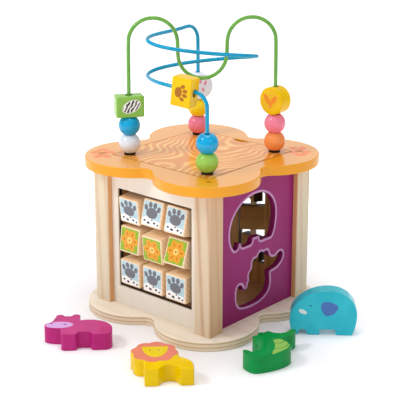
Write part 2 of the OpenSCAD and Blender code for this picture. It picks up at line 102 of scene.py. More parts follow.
def colour(code):
    """Linear colour of a six-digit colour code."""
    parts = [int(code[i:i + 2], 16) / 255 for i in (1, 3, 5)]
    return (*(p / 12.92 if p <= 0.04045 else ((p + 0.055) / 1.055) ** 2.4 for p in parts), 1.0)


def either(masks):
    """Mask of all that any of several masks covers."""
    return reduce(or_, masks)


class Value:
    """A socket in a material, with Python's operators for its arithmetic."""

    def __init__(self, mix, socket):
        self.mix = mix
        self.socket = socket

    def math(self, operation, *others):
        """This value in a step of arithmetic, with others after it."""
        return self.mix.node("Math", {"operation": operation}, dict(enumerate((self, *others))))

    def output(self, index):
        """Another output of the same node."""
        return Value(self.mix, self.socket.node.outputs[index])

    def __add__(self, other):
        return self.math("ADD", other)

    __radd__ = __add__

    def __sub__(self, other):
        return self.math("SUBTRACT", other)

    def __rsub__(self, other):
        return self.mix.node("Math", {"operation": "SUBTRACT"}, {0: other, 1: self})

    def __mul__(self, other):
        return self.math("MULTIPLY", other)

    __rmul__ = __mul__

    def __truediv__(self, other):
        return self.math("DIVIDE", other)

    def __mod__(self, other):
        return self.math("FLOORED_MODULO", other)

    def __pow__(self, other):
        return self.math("POWER", other)

    def __abs__(self):
        return self.math("ABSOLUTE")

    def __or__(self, other):
        return self.math("MAXIMUM", other)

    def __and__(self, other):
        return self.math("MINIMUM", other)


class Mixture:
    """A node tree in the making. Points are in millimetres."""

    def __init__(self, owner):
        owner.use_nodes = True
        self.tree = owner.node_tree

    def put(self, value, socket):
        """Link a value to a socket, or set a constant there. A colour may be given by its code."""
        if isinstance(value, Value):
            self.tree.links.new(value.socket, socket)
        else:
            socket.default_value = colour(value) if isinstance(value, str) else value

    def node(self, kind, settings=None, inputs=None, output=0):
        """Add a node and give one of its outputs."""
        made = self.tree.nodes.new("ShaderNode" + kind)
        for name, value in (settings or {}).items():
            setattr(made, name, value)
        for key, value in (inputs or {}).items():
            self.put(value, made.inputs[key])
        return Value(self, made.outputs[output])

    # Points and directions

    def seen_from(self, vector, place=(0, 0, 0), turn=(0, 0, 0), scale=(1, 1, 1)):
        """A vector as it is seen from a place, with a turn and a scale of its own."""
        return self.node("Mapping", {"vector_type": "TEXTURE"}, {
            "Vector": vector, "Location": place, "Rotation": turn, "Scale": scale})

    def point(self, place=(0, 0, 0), turn=(0, 0, 0)):
        """Place on the piece in millimetres, seen from a place and turn of its own."""
        coords = self.node("TexCoord", output="Object")
        return self.seen_from(coords, [p * MM for p in place], turn, (MM, MM, MM))

    def flat(self, across, up):
        """A point on a drawing, from its two measures."""
        return self.node("CombineXYZ", None, {0: across, 1: up})

    def axes(self, vector):
        """The three measures of a vector."""
        split = self.node("SeparateXYZ", None, {0: vector})
        return split, split.output(1), split.output(2)

    def facing(self, axis):
        """How much the surface faces along an axis, from -1 to 1."""
        return self.axes(self.node("TexCoord", output="Normal"))[axis]

    def stretch(self, vector, factors):
        return self.node("VectorMath", {"operation": "MULTIPLY"}, {0: vector, 1: factors})

    def length(self, vector):
        return self.node("VectorMath", {"operation": "LENGTH"}, {0: vector}, "Value")

    def reach(self, vector, direction):
        """How far a vector goes in a direction."""
        return self.node("VectorMath", {"operation": "DOT_PRODUCT"}, {0: vector, 1: direction}, "Value")

    def polar(self, point, centre):
        """Distance from a centre in the XY plane of a point, and the angle round it."""
        x, y, _ = self.axes(point)
        x, y = x - centre[0], y - centre[1]
        return (x * x + y * y) ** 0.5, y.math("ARCTAN2", x)

    # Masks

    def ramp(self, value, low, high):
        """0 at low, 1 at high, eased between them."""
        return self.node("MapRange", {"interpolation_type": "SMOOTHSTEP"}, {
            0: value, 1: low, 2: high, 3: 0.0, 4: 1.0})

    def within(self, value, limit, soft):
        """1 below a limit, 0 above it, with a soft edge."""
        return self.ramp(value, limit + soft, limit - soft)

    def oval(self, point, centre, radii, turn=0.0, soft=0.06):
        """Mask of an oval in the XY plane of a point."""
        seen = self.seen_from(point, (*centre, 0), (0, 0, radians(turn)), (*radii, FLATTENED))
        return self.within(self.length(seen), 1.0, soft)

    def ovals(self, point, rows):
        """Mask of several ovals, each (centre, radii, turn)."""
        return either([self.oval(point, *row) for row in rows])

    def patch(self, point, corners, rounding, soft=0.25):
        """Mask of a patch with straight sides and round corners. Its corners go round anticlockwise."""
        x, y, _ = self.axes(point)
        sides = []
        for (ax, ay), (bx, by) in zip(corners, (*corners[1:], corners[0])):
            length = hypot(bx - ax, by - ay)
            sides.append((x - ax) * ((by - ay) / length) - (y - ay) * ((bx - ax) / length))
        outside = reduce(lambda first, second: first.math("SMOOTH_MAX", second, rounding), sides)
        return self.within(outside, 0.0, soft)

    def ring(self, point, centre, radius, width, soft=0.2):
        """Mask of a thin line round a centre."""
        off = abs(self.polar(point, centre)[0] - radius)
        return self.within(off, width / 2, soft)

    # Patterns and colours

    def noise(self, vector, scale, detail=2.0, roughness=0.5):
        return self.node("TexNoise", None, {
            "Vector": vector, "Scale": scale, "Detail": detail, "Roughness": roughness})

    def grain(self, point, along, ring, wander):
        """Wood grain along an axis: its lines, about ring apart, and its finer fibres."""
        scales = [1.0, 1.0, 1.0]
        scales[along] = GRAIN_PULL
        long = self.stretch(point, scales)
        bands = self.node("TexWave", {"bands_direction": "DIAGONAL", "wave_profile": "SIN"}, {
            "Vector": long, "Scale": GRAIN_LINES / ring, "Distortion": wander,
            "Detail": 2.0, "Detail Scale": GRAIN_RIPPLE / ring, "Detail Roughness": 0.55})
        return bands ** GRAIN_SHARPNESS, self.noise(long, 1.6, detail=3.0, roughness=0.6)

    def bump(self, height, depth):
        return self.node("Bump", None, {"Strength": 1.0, "Distance": depth * MM, "Height": height})

    def blend(self, factor, first, second):
        """Two colours mixed: the first where the factor is 0, the second where it is 1."""
        return self.node("Mix", {"data_type": "RGBA"}, {0: factor, 6: first, 7: second}, output=2)

    def tones(self, value, low, high, pair):
        """From the first colour of a pair, where a value is low, to the second, where it is high."""
        return self.blend(self.ramp(value, low, high), *pair)

    def marked(self, base, point, marks):
        """A colour with marks over it, each a (mask function, colour) pair."""
        for mask, ink in marks:
            base = self.blend(mask(self, point), base, ink)
        return base


class Finish(Mixture):
    """A material and its shader. Constants are set by the name of their socket."""

    def __init__(self, name, **constants):
        self.material = bpy.data.materials.new(name)
        super().__init__(self.material)
        self.shader = self.tree.nodes["Principled BSDF"]
        self.finish(Specular_IOR_Level=0.2)
        self.finish(**constants)

    def finish(self, **sockets):
        """Set or link sockets of the shader, and give the material."""
        for socket, value in sockets.items():
            self.put(value, self.shader.inputs[socket.replace("_", " ")])
        return self.material


def timber(name, pair, along, ring, strength, wander=5.0, marks=()):
    """Clear-lacquered solid wood with its grain along an axis."""
    mix = Finish(name)
    point = mix.point()
    lines, fibres = mix.grain(point, along, ring, wander)
    patches = mix.noise(point, 0.035)
    tone = lines * strength * (0.35 + patches) + (fibres - 0.5) * 0.35
    wood = mix.tones(tone, -0.1, 0.75, pair)
    return mix.finish(
        Base_Color=mix.marked(wood, point, marks),
        Roughness=0.42 + fibres * 0.12,
        Normal=mix.bump(fibres * 0.6 - lines * 0.4, depth=0.06))


def gloss_paint(name, pair, rough=0.06, gloss=0.16, marks=(), place=(0, 0, 0), turn=(0, 0, 0)):
    """Gloss paint on wood, with its slight clouds and brush ripple."""
    mix = Finish(name, Specular_IOR_Level=gloss)
    point = mix.point(place, turn)
    clouds = mix.noise(point, 0.06, detail=3.0)
    ripple = mix.noise(mix.stretch(point, (1.0, 1.0, 0.3)), 0.7)
    paint = mix.tones(clouds, 0.3, 0.75, pair)
    return mix.finish(
        Base_Color=mix.marked(paint, point, marks),
        Roughness=rough + clouds * 0.08,
        Normal=mix.bump(ripple, depth=0.01))


def coated_wire(name, pair):
    """Thick glossy coating on a steel wire."""
    mix = Finish(name, Coat_Weight=0.2, Coat_Roughness=0.05)
    point = mix.point()
    clouds = mix.noise(point, 0.12, detail=3.0)
    specks = mix.noise(point, 1.4)
    return mix.finish(
        Base_Color=mix.tones(clouds, 0.3, 0.7, pair),
        Roughness=0.12 + specks * 0.1,
        Normal=mix.bump(specks, depth=0.004))


def moulded_plastic(name, pair):
    """Plain plastic with a fine rough skin."""
    mix = Finish(name)
    specks = mix.noise(mix.point(), 2.5, detail=3.0)
    return mix.finish(
        Base_Color=mix.blend(specks, *pair),
        Roughness=0.5 + specks * 0.15,
        Normal=mix.bump(specks, depth=0.03))


# Modelling

# Points of a solid nearer than this become one, and faces within this angle count as flat
JOINED_WITHIN = 0.03
FLAT_WITHIN = radians(0.5)
# Points of a new shape nearer than this become one
WELDED_WITHIN = 0.002


def take(*pieces):
    """Select these pieces alone, the last one active."""
    bpy.ops.object.select_all(action="DESELECT")
    for piece in pieces:
        piece.select_set(True)
        bpy.context.view_layer.objects.active = piece


@contextmanager
def editing(piece, everything=True):
    """Edit mode on a piece, with everything selected or only what was picked."""
    take(piece)
    bpy.ops.object.mode_set(mode="EDIT")
    if everything:
        bpy.ops.mesh.select_all(action="SELECT")
    yield
    bpy.ops.object.mode_set(mode="OBJECT")


def pick(piece, kind, test):
    """Select the vertices, edges or polygons that pass a test."""
    for name in ("vertices", "edges", "polygons"):
        for item in getattr(piece.data, name):
            item.select = name == kind and test(item)
    bpy.context.tool_settings.mesh_select_mode = [kind == k for k in ("vertices", "edges", "polygons")]


def apply(piece, kind, **settings):
    """Add a modifier and apply it."""
    modifier = piece.modifiers.new(kind.lower(), kind)
    for name, value in settings.items():
        setattr(modifier, name, value)
    take(piece)
    bpy.ops.object.modifier_apply(modifier=modifier.name)


def smooth(piece, angle=40):
    """Shade smooth, apart from edges sharper than an angle."""
    take(piece)
    bpy.ops.object.shade_smooth_by_angle(angle=radians(angle))


def round_edges(piece, width, segments=3, limit=30):
    """Round the edges that are sharper than a limit."""
    smooth(piece)
    apply(piece, "BEVEL", width=width * MM, segments=segments, limit_method="ANGLE",
          angle_limit=radians(limit), harden_normals=True)


def settle(piece, name):
    """Name a new piece and bring its place into its mesh."""
    take(piece)
    bpy.ops.object.transform_apply(location=True, rotation=True, scale=True)
    piece.name = piece.data.name = name
    return piece


def bare_copy(node):
    """A piece with a solid's triangles, without its material and its set normals."""
    piece = bpy.data.objects.new(node + "_piece", nodes[node].data.copy())
    bpy.context.scene.collection.objects.link(piece)
    piece.data.materials.clear()
    take(piece)
    bpy.ops.mesh.customdata_custom_splitnormals_clear()
    return piece


def copy_of(node):
    """A piece with a solid's shape, its triangles joined into flat faces."""
    piece = bare_copy(node)
    with editing(piece):
        bpy.ops.mesh.remove_doubles(threshold=JOINED_WITHIN * MM)
        bpy.ops.mesh.dissolve_limited(angle_limit=FLAT_WITHIN)
    return piece


def twin(piece, name, place, turn=(0, 0, 0)):
    """A copy with its own mesh, turned about the origin and set at a place in metres."""
    take(piece)
    bpy.ops.object.duplicate()
    made = bpy.context.object
    made.rotation_euler = turn
    made.location = place
    return settle(made, name)


def drill(piece, radius, length):
    """Drill a piece through along Z, at the origin."""
    take()
    bpy.ops.mesh.primitive_cylinder_add(vertices=48, radius=radius * MM, depth=length * MM)
    bit = bpy.context.object
    apply(piece, "BOOLEAN", operation="DIFFERENCE", solver="EXACT", object=bit)
    bpy.data.objects.remove(bit)


def dress(piece, node, material):
    """The piece stands for a solid: it takes a material unless it has one, moves with the solid's body, and
    the solid is hidden.
    """
    if not piece.data.materials:
        piece.data.materials.append(material)
    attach(piece, body_of[node])
    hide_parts(node)


def paint_solid(node, material):
    """Give a solid that stays a better material."""
    mesh = nodes[node].data
    mesh.materials.clear()
    mesh.materials.append(material)
    for face in mesh.polygons:
        face.material_index = 0


# Boards and lid

BASE_PLIES = 5
BIRCH_FACE = ("#F1E6D6", "#EADBC4")
BIRCH_PLIES = ("#EFDFC8", "#D6BC98")
BIRCH_SPECKS = "#CDAE84"
GLUE_LINE = "#A6835C"
INNER_FLOOR = "#C09660"
# The tone of the inner floor reaches this far under the panels
INNER_REACH = 0.65


def plywood(name, thickness, plies):
    """Birch plywood: pale faces, browner inside the cabinet, and plies and glue lines round the edge."""
    mix = Finish(name)
    point = mix.point()
    x, y, z = mix.axes(point)
    lines, fibres = mix.grain(point, X, ring=9.0, wander=4.0)
    face = mix.tones(lines * 0.5 + (fibres - 0.5) * 0.5, -0.1, 0.8, BIRCH_FACE)
    enclosed = mix.within(abs(x) | abs(y), PANEL_BACK + INNER_REACH, 0.25)
    top = mix.ramp(z, thickness - 0.4, thickness - 0.1)
    face = mix.blend(enclosed * top * 0.75, face, INNER_FLOOR)
    ply = z / (thickness / plies) + (mix.noise(point, 0.03) - 0.5) * 0.12
    glue = mix.ramp(abs(ply % 1.0 - 0.5), 0.40, 0.48)
    cross = mix.ramp(abs(ply % 2.0 - 1.0), 0.42, 0.58)
    specks = mix.noise(mix.stretch(point, (0.4, 0.4, 2.5)), 1.2, detail=3.0)
    ends = mix.blend(cross, *BIRCH_PLIES)
    ends = mix.blend(mix.ramp(specks, 0.4, 0.8) * 0.3, ends, BIRCH_SPECKS)
    ends = mix.blend(glue * 0.6, ends, GLUE_LINE)
    side = mix.ramp(abs(mix.facing(Z)), 0.75, 0.45)
    return mix.finish(
        Base_Color=mix.blend(side, face, ends),
        Roughness=0.45 + fibres * 0.1,
        Normal=mix.bump(fibres * 0.4 - glue * side, depth=0.08))


AMBER = ("#E89804", "#ECA014")
AMBER_FIBRES = "#E99416"
OPENING_SHADE = "#7A420E"
# The painted shade on the walls of the opening reaches this far from the lid, and leaves this half width at
# the notch, where light falls on the wall
OPENING_REACH = 2.0
FINGER_HALF = 10.4
# Place and turn of each flower
FLOWERS = (((72.0, 71.0), 45), ((-75.5, -70.5), 225))
PETAL_PAINT = "#F0742A"
PETAL_REACH = (7.5, 13.5)
PETAL_RADII = (4.4, 6.2)
PETAL_LEAN = 0.6
PETALS = [((PETAL_REACH[0] * cos(radians(a)), PETAL_REACH[1] * sin(radians(a))), PETAL_RADII,
           (a - 90) * PETAL_LEAN) for a in (54, 126, 198, 270, 342)]
HEART_PAINT = "#C07000"
HEART = (((0.0, 1.8), (5.2, 2.3), 25), ((0.0, -1.8), (5.2, 2.3), -25))
SEED_PAINT = "#6A3C0C"
SEEDS = (((72.5, -73.0), (3.0, 1.8), 40), ((-72.5, 73.0), (3.0, 1.8), 40))


def lacquered_board(name):
    """Amber lacquer over plywood, with a flower or a seed on each lobe, and painted shade on the walls of
    the opening for the lid.
    """
    mix = Finish(name, Coat_Roughness=0.12)
    point = mix.point()
    x, y, z = mix.axes(point)
    clouds = mix.noise(point, 0.02, detail=3.0)
    fibres = mix.noise(mix.stretch(point, (0.06, 1.0, 1.0)), 0.9, detail=3.0)
    base = mix.blend(clouds, *AMBER)
    base = mix.blend(mix.ramp(fibres, 0.5, 0.9) * 0.25, base, AMBER_FIBRES)
    top = mix.ramp(z, LID_TOP - 0.4, LID_TOP - 0.1)
    lobes = [mix.point((*place, 0), (0, 0, radians(turn))) for place, turn in FLOWERS]
    petals = either([mix.ovals(lobe, PETALS) for lobe in lobes])
    hearts = either([mix.ovals(lobe, HEART) for lobe in lobes])
    seeds = mix.ovals(point, SEEDS)
    flecks = mix.ramp(mix.noise(point, 0.5), 0.3, 0.6)
    base = mix.blend(petals * top * (0.75 + flecks * 0.25), base, PETAL_PAINT)
    base = mix.blend(hearts * top * 0.95, base, HEART_PAINT)
    base = mix.blend(seeds * top * 0.85, base, SEED_PAINT)
    side = mix.ramp(abs(mix.facing(Z)), 0.97, 0.75)
    # Painted shade on the walls of the opening, left off the wall behind the finger notch, which is lit
    beyond_notch = mix.ramp(abs(x), FINGER_HALF - 0.5, FINGER_HALF + 0.5) | mix.ramp(y, 0.0, -1.0)
    opening = mix.within(abs(x) | abs(y), LID_HALF + OPENING_REACH, 0.2) * side * beyond_notch
    painted = (petals * 0.5 | hearts * 0.9 | seeds * 0.9) * top
    return mix.finish(
        Base_Color=mix.blend(opening * 0.8, base, OPENING_SHADE),
        Roughness=0.3 + clouds * 0.1,
        Coat_Weight=1.0 - painted - side * 0.75,
        Normal=mix.bump(fibres, depth=0.02))


LID_TONES = ("#E0821C", "#E8963A")
LID_LINES = "#FCC870"
LID_FIBRES = "#C9741E"
LID_SEAM_SHADE = "#8A4E16"
LID_HEART_X = 8.0
LID_HEART_W = 16.0
LID_LEAN = 0.4
LID_SPACING = 7.6
LID_SWELL = 62.0
LID_RIPPLE = 16.0


def grained_lid(name):
    """Pale grain lines on amber under clear lacquer, with the sides painted darker as shade in the seam
    round the lid. The lines bow round a heart beside the middle.
    """
    mix = Finish(name, Coat_Weight=0.6, Coat_Roughness=0.1)
    point = mix.point()
    x, y, _ = mix.axes(point)
    off_heart = x - LID_HEART_X
    bow = (off_heart * off_heart + LID_HEART_W ** 2) ** 0.5
    swell = mix.noise(mix.stretch(point, (0.008, 0.019, 0.0)), 1.0, detail=0.0)
    ripple = mix.noise(mix.stretch(point, (0.02, 0.045, 0.0)), 1.0, detail=0.0)
    across = bow - y * LID_LEAN + (swell - 0.5) * LID_SWELL + (ripple - 0.5) * LID_RIPPLE
    line = mix.ramp(abs(across / LID_SPACING % 1.0 - 0.5), 0.22, 0.40)
    fade = mix.ramp(mix.noise(mix.stretch(point, (0.05, 0.03, 0.0)), 1.0), 0.25, 0.6)
    fibres = mix.noise(mix.stretch(point, (1.2, 0.05, 1.2)), 0.8, detail=3.0)
    side = mix.ramp(abs(mix.facing(Z)), 0.6, 0.3)
    base = mix.blend(mix.noise(point, 0.02), *LID_TONES)
    base = mix.blend(line * (0.3 + fade * 0.6), base, LID_LINES)
    base = mix.blend(mix.ramp(fibres, 0.5, 0.85) * 0.18, base, LID_FIBRES)
    # The sides are painted darker as the shade in the seam round the lid
    return mix.finish(
        Base_Color=mix.blend(side * 0.6, base, LID_SEAM_SHADE),
        Roughness=0.28 + fibres * 0.1,
        Normal=mix.bump(fibres * 0.5 + line * 0.3, depth=0.02))


# Posts and rods

POST_PINE = ("#DFCFB4", "#D2B795")
FRONT_PINE = ("#D9C4A8", "#C4A282")
ROD_PINE = ("#E8D2AC", "#C39C68")
# The painted shade of a groove side reaches this deep into the post
GROOVE_DEPTH = 0.35


def groove_shade(mix, point):
    """Sides of a post that face a panel, painted darker and warmer as shade in the corner between post and
    panel.
    """
    x, y, _ = mix.axes(point)
    return mix.within(abs(x) & abs(y), POST_INNER + GROOVE_DEPTH, 0.15) * 0.8


def shaded_side(mix, point):
    """The front post's side that faces along X, painted darker and redder as shade."""
    return mix.ramp(mix.facing(X), 0.5, 0.8) * 0.7


# Painted shade on the post sides in the grooves beside the panels
GROOVE_SHADE = (groove_shade, "#DFA062")
# Painted shade on the front post's side that faces along X
SIDE_SHADE = (shaded_side, "#D6AC82")
pine_post = timber(
    "pine_post", POST_PINE, Z, ring=7.0, strength=0.55, wander=9.0, marks=(GROOVE_SHADE,))
front_pine = timber(
    "front_pine", FRONT_PINE, Z, ring=6.0, strength=0.7, wander=9.0, marks=(SIDE_SHADE, GROOVE_SHADE))
pine_rod = timber("pine_rod", ROD_PINE, X, ring=2.5, strength=0.5)
upright_pine_rod = timber("upright_pine_rod", ROD_PINE, Z, ring=2.5, strength=0.5)

for node, material, width in (
        ("base_board", plywood("birch_ply", BASE_T, BASE_PLIES), 1.0),
        ("top_board", lacquered_board("amber_lacquer"), 1.4),
        ("lid", grained_lid("amber_grain"), 0.5),
        ("front_post", front_pine, 0.6),
        ("right_post", pine_post, 0.6),
        ("back_post", pine_post, 0.6),
        ("left_post", pine_post, 0.6)):
    piece = copy_of(node)
    round_edges(piece, width)
    dress(piece, node, material)

for node in ("upper_rod", "middle_rod", "lower_rod", "block_spacers"):
    paint_solid(node, pine_rod)
for node in ("tile_rod", "tile_spacers"):
    paint_solid(node, upright_pine_rod)


# Panels

CREAM = ("#EAE3D7", "#E4DAC8")
PLUM = ("#98246C", "#8A1C60")
PLUM_EDGE = "#780F52"
BARE_WOOD = ("#D6AC6C", "#BA8A4C")
PAINT_RUN = 1.8
PANEL_ROUND = 0.35


def painted_panel(name, paint, edge, axis, sign, face_at):
    """Panel with a painted face, dark cut edges that paint runs over a little, and a bare inner face.

    The face looks along an axis and lies face_at from the middle.
    """
    mix = Finish(name)
    point = mix.point()
    facing = mix.facing(axis) * sign
    depth = face_at - mix.axes(point)[axis] * sign
    lines, fibres = mix.grain(point, Z, ring=7.0, wander=4.0)
    clouds = mix.noise(point, 0.018, detail=3.0)
    face = mix.tones(lines * 0.12 + (fibres - 0.5) * 0.5 + (clouds - 0.5) * 1.2, -0.35, 0.6, paint)
    wood = mix.tones(lines * 0.6 + fibres * 0.5, 0.1, 1.0, BARE_WOOD)
    cut = mix.blend(mix.ramp(fibres, 0.3, 0.8) * 0.12, edge, paint[1])
    cut = mix.blend(mix.within(depth, PAINT_RUN, 0.3) * 0.9, cut, face)
    base = mix.blend(mix.ramp(facing, 0.5, 0.8), cut, face)
    return mix.finish(
        Base_Color=mix.blend(mix.ramp(facing, -0.5, -0.8), base, wood),
        Roughness=0.42 + fibres * 0.12,
        Normal=mix.bump(fibres * 0.7 + lines * 0.3, depth=0.05))


for node, paint, edge, axis, sign in (
        ("block_panel", CREAM, "#1E120A", Y, -1),
        ("tile_panel", CREAM, "#140C08", Y, 1),
        ("sorter_panel", PLUM, PLUM_EDGE, X, 1),
        ("second_sorter_panel", PLUM, PLUM_EDGE, X, -1)):
    low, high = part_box(node)
    face_at = (high[axis] if sign > 0 else -low[axis]) / MM
    piece = copy_of(node)
    round_edges(piece, PANEL_ROUND, segments=2)
    dress(piece, node, painted_panel(node + "_paint", paint, edge, axis, sign, face_at))

LILAC = ("#C795C0", "#B982B2")
LINE_W = 2.3
LINE_DEPTH = 0.3
LINE_PROUD = 0.06
# Points of a line nearer than this become one, and shorter edges than this go
LINE_WELD = 0.01
LINE_SLIVER = 0.005
# A cut-out's wall lies further than this from the sides of its panel
PANEL_MARGIN = 2.0


def cut_out_line(node, sign):
    """Line round the cut-outs of a sorter panel: their walls, cut thin and thickened into the panel."""
    low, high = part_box(node)
    face = high[X] if sign > 0 else low[X]

    def elsewhere(polygon):
        """True of all but the walls of the cut-outs."""
        inside = all(low[axis] + PANEL_MARGIN * MM < polygon.center[axis] < high[axis] - PANEL_MARGIN * MM
                     for axis in (Y, Z))
        return not (abs(polygon.normal.x) < 0.5 and inside)

    line = copy_of(node)
    pick(line, "polygons", elsewhere)
    with editing(line, everything=False):
        bpy.ops.mesh.delete(type="FACE")
        bpy.ops.mesh.select_all(action="SELECT")
        bpy.ops.mesh.bisect(
            plane_co=(face - sign * LINE_DEPTH * MM, 0, 0), plane_no=(sign, 0, 0), clear_inner=True)
        bpy.ops.mesh.select_all(action="SELECT")
        bpy.ops.transform.translate(value=(sign * LINE_PROUD * MM, 0, 0))
    apply(line, "SOLIDIFY", thickness=LINE_W * MM, offset=-1.0, use_even_offset=True)
    with editing(line):
        bpy.ops.mesh.remove_doubles(threshold=LINE_WELD * MM)
        bpy.ops.mesh.dissolve_degenerate(threshold=LINE_SLIVER * MM)
    return settle(line, node + "_line")


lilac = gloss_paint("lilac_line", LILAC, rough=0.35)
for node, sign in (("sorter_panel", 1), ("second_sorter_panel", -1)):
    line = cut_out_line(node, sign)
    line.data.materials.append(lilac)
    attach(line, body_of[node])


# Picture blocks and tiles

BLOCK_ROUND = 1.5
BLOCK_BORE = 5.1
# Each block with its tilt on the rod
BLOCK_ROWS = (
    (("top_left_block", -6), ("top_middle_block", 13), ("top_right_block", 13)),
    (("middle_left_block", 7), ("centre_block", -5), ("middle_right_block", 20)),
    (("bottom_left_block", -1.5), ("bottom_middle_block", 0), ("bottom_right_block", 1)))
# The print on a block reaches this far from its middle, and the pale margin round it this far
PRINT_HALF = 12.1
MARGIN_HALF = 12.55
# U of the bored sides, which lie beyond any print
NO_PRINT = 9.0
# Each side keeps this much of its V clear of its neighbours
WRAP_GAP = 0.001


def picture_block(name):
    """Wooden cube bored along X. Its UV map runs once round the bore: side 0 is the front, 2 the back."""
    take()
    bpy.ops.mesh.primitive_cube_add(size=BLOCK_W * MM)
    piece = bpy.context.object
    with editing(piece):
        bpy.ops.mesh.bevel(offset=BLOCK_ROUND * MM, segments=4, affect="EDGES")
    piece.rotation_euler = (0, radians(90), 0)
    settle(piece, name)
    drill(piece, BLOCK_BORE / 2, BLOCK_W * 2)
    piece.rotation_euler = (0, radians(-90), 0)
    settle(piece, name)
    while piece.data.uv_layers:
        piece.data.uv_layers.remove(piece.data.uv_layers[0])
    wrap = piece.data.uv_layers.new(name="wrap")
    for face in piece.data.polygons:
        y, z = face.normal.y, face.normal.z
        side = (0 if y < 0 else 2) if abs(y) >= abs(z) else (1 if z > 0 else 3)
        bored = abs(face.normal.x) > 0.8
        for corner in face.loop_indices:
            spot = piece.data.vertices[piece.data.loops[corner].vertex_index].co / (BLOCK_W * MM)
            across = spot.x if side != 2 else -spot.x
            up = (spot.z, spot.y, -spot.z, -spot.y)[side] + 0.5
            wrap.data[corner].uv = (
                NO_PRINT if bored else across + 0.5, side + min(max(up, WRAP_GAP), 1 - WRAP_GAP))
    smooth(piece)
    return piece


SKY = ("#C3DCE4", "#B2D0DA")
HILLS = (((-4.5, -12.0), (10.5, 8.5), 0), ((7.5, -12.5), (8.0, 6.5), 0))
PAW = (
    ((0, 0.4), (7.6, 5.4), 0),
    ((-8.6, 5.4), (2.3, 3.2), 24), ((-3.1, 8.6), (2.5, 3.1), 8),
    ((3.1, 8.6), (2.5, 3.1), -8), ((8.6, 5.4), (2.3, 3.2), -24))
PEBBLES = (
    ((-8.5, -8.0), (1.5, 1.0), 10), ((-3.0, -9.6), (1.9, 1.2), -8), ((5.0, -8.8), (1.5, 1.1), 0),
    ((9.6, -10.0), (1.2, 0.9), 15), ((1.2, -6.3), (1.1, 0.8), 0))


def print_blue(mix, seen):
    """Pale-blue print: white hills with dark pebbles and a grey paw mark above them."""
    base = mix.tones(mix.noise(seen, 0.3), 0.3, 0.7, SKY)
    base = mix.blend(mix.ovals(seen, HILLS), base, "#F6F5F2")
    base = mix.blend(mix.ovals(seen, PAW), base, "#74767E")
    return mix.blend(mix.ovals(seen, PEBBLES), base, "#2F3036")


def rosette(reach, radii, count=6):
    """Ovals in a ring, each pointing away from the middle."""
    turns = [i * 360 / count for i in range(count)]
    return [((reach * cos(radians(a)), reach * sin(radians(a))), radii, a) for a in turns]


MEADOW = ("#9DC038", "#8CB030")
BLOSSOM = rosette(6.4, (5.5, 4.3))
DASHES = rosette(7.4, (1.9, 0.6))


def print_green(mix, seen):
    """Green print: an orange blossom with darker dashes round a pale heart."""
    base = mix.tones(mix.noise(seen, 0.3), 0.3, 0.7, MEADOW)
    base = mix.blend(mix.ovals(seen, BLOSSOM), base, "#E8A234")
    base = mix.blend(mix.ovals(seen, DASHES), base, "#B86A1E")
    base = mix.blend(mix.oval(seen, (0, 0), (3.3, 3.3)), base, "#F8D77C")
    return mix.blend(mix.oval(seen, (0, 0), (1.3, 1.3)), base, "#C87A24")


def printed_wood(mix, base, fibres, square):
    """Bare wood with a print that is smoother and stands a little proud."""
    return mix.finish(
        Base_Color=base,
        Roughness=0.45 + fibres * 0.12 - square * 0.12,
        Normal=mix.bump(fibres * 0.5 + square * 0.4, depth=0.05))


BLOCK_WOOD = ("#FADFBA", "#E6BF8E")
BLOCK_MARGIN = "#F1E6D2"


def block_finish(name, picture):
    """Bare wood with a print on the front and back of the block."""
    mix = Finish(name)
    lines, fibres = mix.grain(mix.point(), X, ring=3.0, wander=6.0)
    wood = mix.tones(lines * 0.35 + (fibres - 0.5) * 0.4, -0.1, 0.8, BLOCK_WOOD)
    across, around, _ = mix.axes(mix.node("TexCoord", output="UV"))
    x = (across - 0.5) * BLOCK_W
    y = (around % 1.0 - 0.5) * BLOCK_W
    edge = abs(x) | abs(y)
    front_or_back = mix.ramp(abs(around % 2.0 - 0.5), 0.5, 0.499)
    square = mix.within(edge, PRINT_HALF, 0.1) * front_or_back
    margin = mix.within(edge, MARGIN_HALF, 0.15) * front_or_back
    base = mix.blend(margin * 0.7, wood, BLOCK_MARGIN)
    base = mix.blend(square, base, picture(mix, mix.flat(x, y)))
    return printed_wood(mix, base, fibres, square)


prints = [block_finish("blue_print", print_blue), block_finish("green_print", print_green)]
block = picture_block("block_pattern")
for row, blocks in enumerate(BLOCK_ROWS):
    for node, tilt in blocks:
        piece = twin(block, node + "_piece", middle(node), (radians(-tilt), 0, 0))
        dress(piece, node, prints[row % 2])
bpy.data.objects.remove(block)

TILE_T = 12.0
TILE_PRINT_HALF = 11.8
TILE_WOOD = ("#CA9E5E", "#A67C42")
SCORCH = "#140C07"
# The scorched edge ends this far from the faces
SCORCH_INSET = 1.2


def tile_finish(name, place, turn, picture):
    """Brown wood with scorched cut edges, and a print on the outer face."""
    mix = Finish(name)
    point = mix.point(place, turn)
    x, y, z = mix.axes(point)
    lines, fibres = mix.grain(point, X, ring=6.0, wander=4.0)
    wood = mix.tones(lines * 0.2 + (fibres - 0.5) * 0.5, -0.1, 0.8, TILE_WOOD)
    scorched = mix.within(abs(y), TILE_T / 2 - SCORCH_INSET, 0.3)
    outer = mix.ramp(y, TILE_T / 2 - 0.5, TILE_T / 2 - 0.3)
    square = mix.within(abs(x) | abs(z), TILE_PRINT_HALF, 0.1) * outer
    base = mix.blend(scorched * 0.95, wood, SCORCH)
    base = mix.blend(square, base, picture(mix, mix.flat(x, z)))
    return printed_wood(mix, base, fibres, square)


for node, tilt, picture in (
        ("upper_tile", -32, print_green),
        ("middle_tile", 36, print_blue),
        ("lower_tile", -8, print_green)):
    piece = copy_of(node)
    smooth(piece)
    place = [p / MM for p in middle(node)]
    dress(piece, node, tile_finish(node + "_wood", place, (0, 0, radians(tilt)), picture))


# Wires

# Subdivision draws a wire in a little, so it is first made this much thicker all round
WIRE_SWELL = 0.1
COLLAR_ROUND = 0.4


